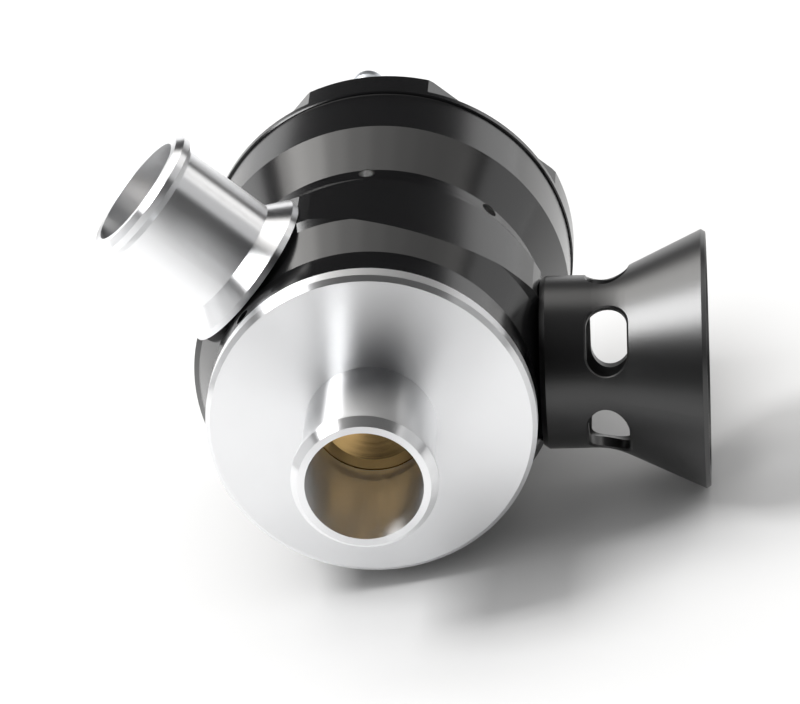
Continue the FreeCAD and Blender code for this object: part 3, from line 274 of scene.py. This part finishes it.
brass = turned_metal("turned_brass", (0.80, 0.53, 0.22, 1), VALVE_AXIS, 0.12)
steel = turned_metal("ground_steel", (0.56, 0.57, 0.58, 1), VALVE_AXIS, 0.22)
spring_steel = turned_metal("spring_steel", (0.36, 0.36, 0.38, 1), VALVE_AXIS, 0.28, 600)
black_steel = turned_metal("black_oxide_steel", (0.05, 0.05, 0.055, 1), VALVE_AXIS, 0.35)
zinc = turned_metal("bright_zinc", (0.66, 0.69, 0.73, 1), NIPPLE_AXIS, 0.2)
plain_metal = turned_metal("plain_aluminium", (0.78, 0.79, 0.8, 1), VALVE_AXIS, 0.3)
rubber = matte("seal_rubber", (0.012, 0.012, 0.012, 1), 0.5, 1200, 0.00002)
ring_plastic = matte("ring_plastic", (0.74, 0.71, 0.62, 1), 0.45, 700, 0.00001)
print("made:", brass.name, steel.name, rubber.name, ring_plastic.name)

# %% [markdown]
# ## A finish for every node
#
# What isn't named here is a seal, so it gets the rubber.

# %% Finishes on the nodes
finishes = {
    "inlet_base": base_metal, "recirc_spigot": spigot_metal, "valve_body": body_black,
    "head_housing": head_black, "top_cap": body_black, "trumpet": trumpet_black,
    "piston": brass, "bias_sleeve": steel, "preload_screw": steel, "seat_guide_pins": steel,
    "main_spring": spring_steel, "head_retaining_clip": spring_steel, "preload_clip": spring_steel,
    "sleeve_screws": black_steel, "base_grub_screws": black_steel, "spring_seat": plain_metal,
    "nipple_washer": plain_metal, "vacuum_nipple": zinc, "piston_ring": ring_plastic,
}
for name, node in nodes.items():
    material = finishes.get(name, rubber)
    node.data.materials.clear()
    node.data.materials.append(material)
    print(name, "->", material.name)

# %% [markdown]
# ## The table
#
# The valve lies on a white table on three things: the cap's rim, the band's front edge and the
# trumpet's rim. The table is a plane through those three, so "up" in the studio leans away from
# the valve's own axes.

# %% The studio's axes
CAP_RADIUS, CAP_HEIGHT = 0.0337, 0.0892
BAND_RADIUS, BAND_HEIGHT = 0.0324, 0.0419
TABLE_ANGLE = math.radians(80.1)
TABLE_GAP = 0.0002
STUDIO_AHEAD = 0.06
lean = -(CAP_RADIUS - BAND_RADIUS) / (CAP_HEIGHT - BAND_HEIGHT)
down = Vector((math.cos(TABLE_ANGLE), math.sin(TABLE_ANGLE), lean)).normalized()
up = -down
far = (Vector((0, 0, 1)) - up * up.z).normalized()
side = far.cross(up)
table_point = down * (BAND_RADIUS * math.hypot(down.x, down.y) + BAND_HEIGHT * down.z + TABLE_GAP)
studio = Matrix((side, far, up)).transposed().to_4x4()
studio.translation = table_point + far * STUDIO_AHEAD
print("table faces", [round(v, 3) for v in up])

# %% [markdown]
# The table is one flat sheet. Its underside is clear to the camera, so that the valve also shows
# from the side that it lies on.

# %% Table
TABLE_WIDTH = 6.0
TABLE_WHITE = (0.62, 0.62, 0.62, 1)


def table_sheet(name, width, place):
    half = width / 2
    corners = [(-half, -half), (half, -half), (half, half), (-half, half)]
    mesh = bpy.data.meshes.new(name)
    form = bmesh.new()
    form.faces.new([form.verts.new(place @ Vector((x, y, 0))) for x, y in corners])
    form.to_mesh(mesh)
    form.free()
    sheet = bpy.data.objects.new(name, mesh)
    bpy.context.scene.collection.objects.link(sheet)
    return sheet


def table_paint():
    material, tree, shader = blank("white_table")
    shader.inputs["Base Color"].default_value = TABLE_WHITE
    grain = maths(tree, "MULTIPLY", object_noise(tree, 300), 0.1)
    join(tree, maths(tree, "ADD", grain, 0.5), shader.inputs["Roughness"])
    facing = add(tree, "ShaderNodeNewGeometry")
    path = add(tree, "ShaderNodeLightPath")
    from_below = maths(tree, "MULTIPLY", facing.outputs["Backfacing"], path.outputs["Is Camera Ray"])
    clear = add(tree, "ShaderNodeBsdfTransparent")
    one_sided = add(tree, "ShaderNodeMixShader")
    join(tree, from_below, one_sided.inputs["Fac"])
    join(tree, shader.outputs["BSDF"], one_sided.inputs[1])
    join(tree, clear.outputs["BSDF"], one_sided.inputs[2])
    join(tree, one_sided.outputs["Shader"], tree.nodes["Material Output"].inputs["Surface"])
    return material


table = table_sheet("table", TABLE_WIDTH, studio)
table.data.materials.append(table_paint())
print("made:", table.name, "with", table.data.materials[0].name)


# %% [markdown]
# ## The lamps
#
# Satin black shows little but the lamps that it mirrors. A row of strips hangs overhead, bright on
# the left and fading to the middle, so that every barrel carries a soft fall of light. A small
# strong key on the left throws the shadow, a low wall and two wings stand behind the valve, and
# two weak panels lift its sides. Each lamp has a place, a point that it faces, a size and the
# brightness that its face has in a mirror. Places count from the studio's own middle: to the
# side, away from the camera, and up.

# %% Lamps
def softbox(name, place, target, width, depth, radiance, colour=(1, 1, 1)):
    """A lit panel; its power follows from how bright its face should look in a reflection."""
    light = bpy.data.lights.new(name, "AREA")
    light.shape = "RECTANGLE"
    light.size = width
    light.size_y = depth
    light.energy = radiance * math.pi * width * depth
    light.color = colour
    box = bpy.data.objects.new(name, light)
    bpy.context.scene.collection.objects.link(box)
    at = studio @ Vector(place)
    aim = studio @ Vector(target)
    facing = (aim - at).to_track_quat("-Z", "Y")
    box.matrix_world = Matrix.Translation(at) @ facing.to_matrix().to_4x4()
    box.visible_camera = False


WARM = (1.0, 0.985, 0.96)
STRIPS = [3.4, 5.0, 4.2, 2.4, 1.7, 1.25, 1.0, 0.85, 0.8, 0.9, 1.2, 1.6, 2.0]
FIRST_STRIP = -0.85
STRIP_WIDTH = 0.2
STRIP_DEPTH = 0.75
STRIPS_AWAY = 0.62
STRIPS_UP = 1.0
for number, radiance in enumerate(STRIPS):
    sideways = FIRST_STRIP + number * STRIP_WIDTH
    softbox("overhead_%d" % number, (sideways, STRIPS_AWAY, STRIPS_UP), (sideways, STRIPS_AWAY, 0),
            STRIP_WIDTH, STRIP_DEPTH, radiance, WARM)

VALVE = (0, 0, 0.03)
AIR_ABOVE_VALVE = (0, 0, 0.2)
softbox("key", (-0.68, -0.10, 1.0), VALVE, 0.42, 0.62, 16.5)
softbox("far_wall", (0.0, 1.35, 0.2), AIR_ABOVE_VALVE, 2.2, 0.42, 1.05)
softbox("wing_left", (-1.25, 0.95, 0.4), AIR_ABOVE_VALVE, 0.9, 0.7, 2.0)
softbox("wing_right", (1.35, 0.85, 0.22), AIR_ABOVE_VALVE, 1.1, 0.45, 1.1)
softbox("left_panel", (-1.3, 0.0, 0.45), VALVE, 0.8, 0.8, 1.0)
softbox("right_panel", (1.2, 0.0, 0.5), VALVE, 0.8, 0.8, 0.9)
print("lamps:", len(STRIPS), "strips and six panels")


# %% [markdown]
# ## The room
#
# The room answers each kind of ray in its own way. The camera sees plain white. What mirrors sees a
# room that is nearly black, which draws the dark bands between the lamps. All the rest gets an
# even grey fill, so the shadows stay open.

# %% Room
def backdrop(tree, colour):
    """The output of a Background node of this colour."""
    node = add(tree, "ShaderNodeBackground")
    node.inputs["Color"].default_value = colour
    node.inputs["Strength"].default_value = 1.0
    return node.outputs["Background"]


def either(tree, which, shader_if_not, shader_if_so):
    """One of two shaders, by the kind of ray."""
    mix = add(tree, "ShaderNodeMixShader")
    join(tree, which, mix.inputs["Fac"])
    join(tree, shader_if_not, mix.inputs[1])
    join(tree, shader_if_so, mix.inputs[2])
    return mix.outputs["Shader"]


world = bpy.data.worlds.new("studio")
bpy.context.scene.world = world
world.use_nodes = True
tree = world.node_tree
tree.nodes.clear()
path = add(tree, "ShaderNodeLightPath")
dark_room = backdrop(tree, (0.016, 0.016, 0.017, 1))
grey_fill = backdrop(tree, (0.62, 0.62, 0.62, 1))
white_page = backdrop(tree, (1, 1, 1, 1))
lighting = either(tree, path.outputs["Is Glossy Ray"], grey_fill, dark_room)
room = either(tree, path.outputs["Is Camera Ray"], lighting, white_page)
world_output = add(tree, "ShaderNodeOutputWorld")
join(tree, room, world_output.inputs["Surface"])
print("made:", world.name)

# %% [markdown]
# ## The camera
#
# The circles of the inlet, the disc, the drum and the trumpet fix the photograph's camera: a long
# lens, nearly a metre off, looking into the inlet from above and a little from one side. The three
# directions below are the camera's right, its down and its forward in the valve's frame.

# %% Camera
FOCAL = 5500
WIDTH = 800
HEIGHT = 704
SENSOR = 36.0
right = Vector((0.99749, 0.05177, 0.04837))
below = Vector((-0.02443, 0.89209, -0.45120))
ahead = Vector((-0.06651, 0.44889, 0.89111))
lens_place = Vector((0.06881, -0.43966, -0.82233))
camera_data = bpy.data.cameras.new("camera")
camera_data.sensor_fit = "HORIZONTAL"
camera_data.sensor_width = SENSOR
camera_data.lens = SENSOR * FOCAL / WIDTH
camera_data.clip_start = 0.01
camera = bpy.data.objects.new("camera", camera_data)
bpy.context.scene.collection.objects.link(camera)
turn = Matrix((right, -below, -ahead)).transposed().to_4x4()
turn.translation = lens_place
camera.matrix_world = turn
bpy.context.scene.camera = camera
bpy.context.scene.view_settings.view_transform = "Standard"
print("lens", camera_data.lens, "mm for a picture of", WIDTH, "by", HEIGHT)
